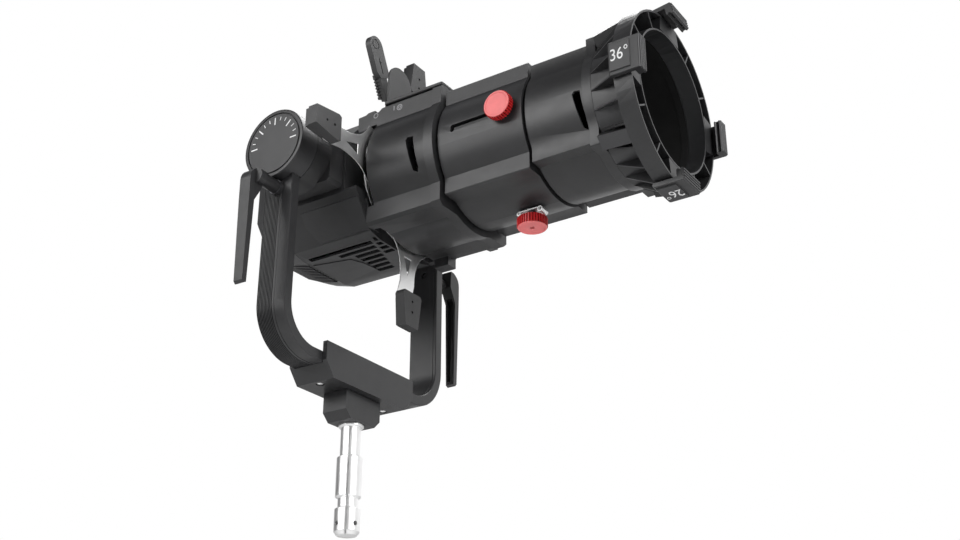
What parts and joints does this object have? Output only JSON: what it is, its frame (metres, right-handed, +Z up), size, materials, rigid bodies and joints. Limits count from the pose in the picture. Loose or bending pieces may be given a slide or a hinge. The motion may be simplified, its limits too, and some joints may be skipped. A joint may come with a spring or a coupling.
{
  "type": "ellipsoidal spotlight",
  "caption": "Ellipsoidal stage spotlight with shutters, iris lever, focus knob and accessory ring, in a tilting U-shaped yoke on a stand pin.",
  "frame": {"origin": "centre of the lower end face of the stand pin", "axes": "+Z up along the stand pin, +X the way the light points when it is level, -Y the side with the focus knob"},
  "size_m": [0.5481, 0.38, 0.5996],
  "materials": {
    "black_casting": "satin black powder coat on cast aluminium",
    "black_plastic": "moulded, fine texture",
    "matte_black": "black anodised, anti-reflective",
    "steel": "polished stainless steel",
    "dark_steel": "blackened steel",
    "bare_aluminium": "extruded, bare",
    "red_plastic": "moulded, semi-gloss",
    "glass": "polished optical glass",
    "circuit_board": "solder mask",
    "phosphor": "silicone over phosphor",
    "display": "dark glass over an unlit display"
  },
  "bodies": {
    "mount": {"stand_pin": "steel", "pin_block": "black_casting", "yoke_bracket": "black_casting", "yoke_band": "black_casting", "clamp_screw_near": "dark_steel", "clamp_screw_far": "dark_steel", "hub_cover_near": "black_casting", "hub_cover_far": "black_casting"},
    "lock_near": {"tilt_lever_near": "black_casting"},
    "lock_far": {"tilt_lever_far": "black_casting"},
    "head": {"tilt_hub_near": "black_casting", "tilt_hub_far": "black_casting", "lamp_housing": "black_casting", "rear_cover": "black_casting", "fan_frame": "black_plastic", "heat_sink": "bare_aluminium", "led_board": "bare_aluminium", "led_emitter": "phosphor", "condenser_cell": "matte_black", "condenser_lens_rear": "glass", "condenser_lens_front": "glass", "driver_board": "circuit_board", "display_window": "display", "power_inlet": "dark_steel", "gate_ring_rear": "steel", "gate_ring_front": "matte_black", "gate_housing": "black_casting", "slot_cover": "black_casting", "lens_barrel": "black_casting", "stop_pin": "dark_steel", "lock_clip": "steel", "front_tube": "black_casting", "front_lens": "glass", "lens_retainer": "matte_black", "front_baffle": "matte_black", "accessory_ring": "black_casting", "frame_clip_near": "black_casting", "frame_clip_far": "black_casting", "frame_clip_bottom": "black_casting"},
    "fan": {"fan_rotor": "black_plastic"},
    "menu_dial": {"menu_knob": "black_plastic"},
    "button_1": {"menu_button_1": "black_plastic"},
    "button_2": {"menu_button_2": "black_plastic"},
    "iris": {"iris_lever": "black_plastic"},
    "gobo": {"gobo_holder": "black_casting"},
    "shutter_top": {"shutter_blade_top": "steel", "shutter_handle_top": "black_plastic"},
    "shutter_bottom": {"shutter_blade_bottom": "steel", "shutter_handle_bottom": "black_plastic"},
    "shutter_near": {"shutter_blade_near": "steel", "shutter_handle_near": "black_plastic"},
    "shutter_far": {"shutter_blade_far": "steel", "shutter_handle_far": "black_plastic"},
    "focus_carrier": {"lens_carrier": "matte_black", "focus_lens_rear": "glass", "focus_lens_front": "glass"},
    "focus_grip": {"focus_knob": "red_plastic"},
    "tube_lock": {"lock_knob": "red_plastic"},
    "top_clip": {"frame_clip_top": "black_casting"}
  },
  "joints": [
    {"name": "tilt", "type": "hinge", "parent": "mount", "child": "head", "pos_m": [0, 0, 0.412], "axis": [0, -1, 0], "range_deg": [-50, 90]},
    {"name": "tilt_lever_near_turn", "type": "hinge", "parent": "mount", "child": "lock_near", "pos_m": [0, -0.1455, 0.3604], "axis": [0, 1, 0], "range_deg": [-40, 40]},
    {"name": "tilt_lever_far_turn", "type": "hinge", "parent": "mount", "child": "lock_far", "pos_m": [0, 0.1455, 0.3604], "axis": [0, 1, 0], "range_deg": [-40, 40]},
    {"name": "fan_spin", "type": "hinge", "parent": "head", "child": "fan", "pos_m": [-0.089, 0, 0.4244], "axis": [1, 0, 0], "continuous": true},
    {"name": "menu_dial_turn", "type": "hinge", "parent": "head", "child": "menu_dial", "pos_m": [-0.104, 0.017, 0.3724], "axis": [1, 0, 0], "continuous": true},
    {"name": "button_1_press", "type": "slide", "parent": "head", "child": "button_1", "axis": [1, 0, 0], "range_m": [0, 0.0015], "stiffness_N_per_m": 400},
    {"name": "button_2_press", "type": "slide", "parent": "head", "child": "button_2", "axis": [1, 0, 0], "range_m": [0, 0.0015], "stiffness_N_per_m": 400},
    {"name": "iris_turn", "type": "hinge", "parent": "head", "child": "iris", "pos_m": [0.0509, 0, 0.4064], "axis": [1, 0, 0], "range_deg": [-34, 14]},
    {"name": "gobo_holder_lift", "type": "slide", "parent": "head", "child": "gobo", "axis": [0, 0, 1], "range_m": [0, 0.06]},
    {"name": "shutter_top_push", "type": "slide", "parent": "head", "child": "shutter_top", "axis": [0, 0, -1], "range_m": [-0.014, 0.031]},
    {"name": "shutter_bottom_push", "type": "slide", "parent": "head", "child": "shutter_bottom", "axis": [0, 0, 1], "range_m": [0, 0.045]},
    {"name": "shutter_near_push", "type": "slide", "parent": "head", "child": "shutter_near", "axis": [0, 1, 0], "range_m": [0, 0.045]},
    {"name": "shutter_far_push", "type": "slide", "parent": "head", "child": "shutter_far", "axis": [0, -1, 0], "range_m": [0, 0.045]},
    {"name": "focus_slide", "type": "slide", "parent": "head", "child": "focus_carrier", "axis": [1, 0, 0], "range_m": [-0.065, 0]},
    {"name": "focus_knob_turn", "type": "hinge", "parent": "focus_carrier", "child": "focus_grip", "pos_m": [0.253, -0.081, 0.4124], "axis": [0, -1, 0], "range_deg": [-180, 180]},
    {"name": "tube_lock_turn", "type": "hinge", "parent": "head", "child": "tube_lock", "pos_m": [0.241, 0, 0.3154], "axis": [0, 0, -1], "range_deg": [-180, 180]},
    {"name": "top_clip_open", "type": "hinge", "parent": "head", "child": "top_clip", "pos_m": [0.397, 0, 0.50975], "axis": [0, -1, 0], "range_deg": [-8, 67]}
  ]
}
